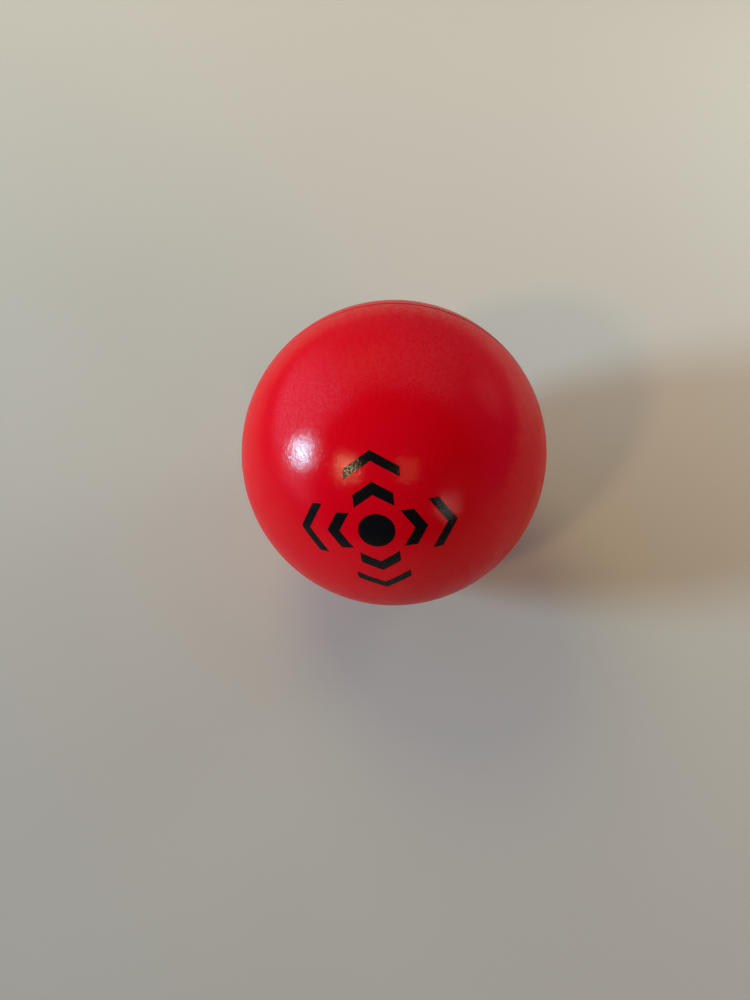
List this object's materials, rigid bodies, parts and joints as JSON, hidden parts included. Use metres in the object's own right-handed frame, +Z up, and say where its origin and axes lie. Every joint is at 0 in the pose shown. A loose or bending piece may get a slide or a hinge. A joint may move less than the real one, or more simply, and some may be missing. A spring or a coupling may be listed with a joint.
{
  "type": "stickhandling ball",
  "caption": "Weighted, non-bouncing stickhandling training ball: satin red moulded half shells welded at the equator round a dead-weight core, one pole printed in black.",
  "frame": {"origin": "centre of the ball", "axes": "+Z up from the table that the ball lies on; -Y to the front, the side to which the printed pole leans; +X to the right seen from the front"},
  "size_m": [0.065, 0.065, 0.065],
  "materials": {
    "shell_red": "satin",
    "bead_red": "satin",
    "core_grey": "matte",
    "print_ink": "satin"
  },
  "bodies": {
    "root": {"printed_half_shell": "shell_red", "plain_half_shell": "shell_red", "weld_bead": "bead_red", "weight_core": "core_grey"}
  },
  "joints": []
}
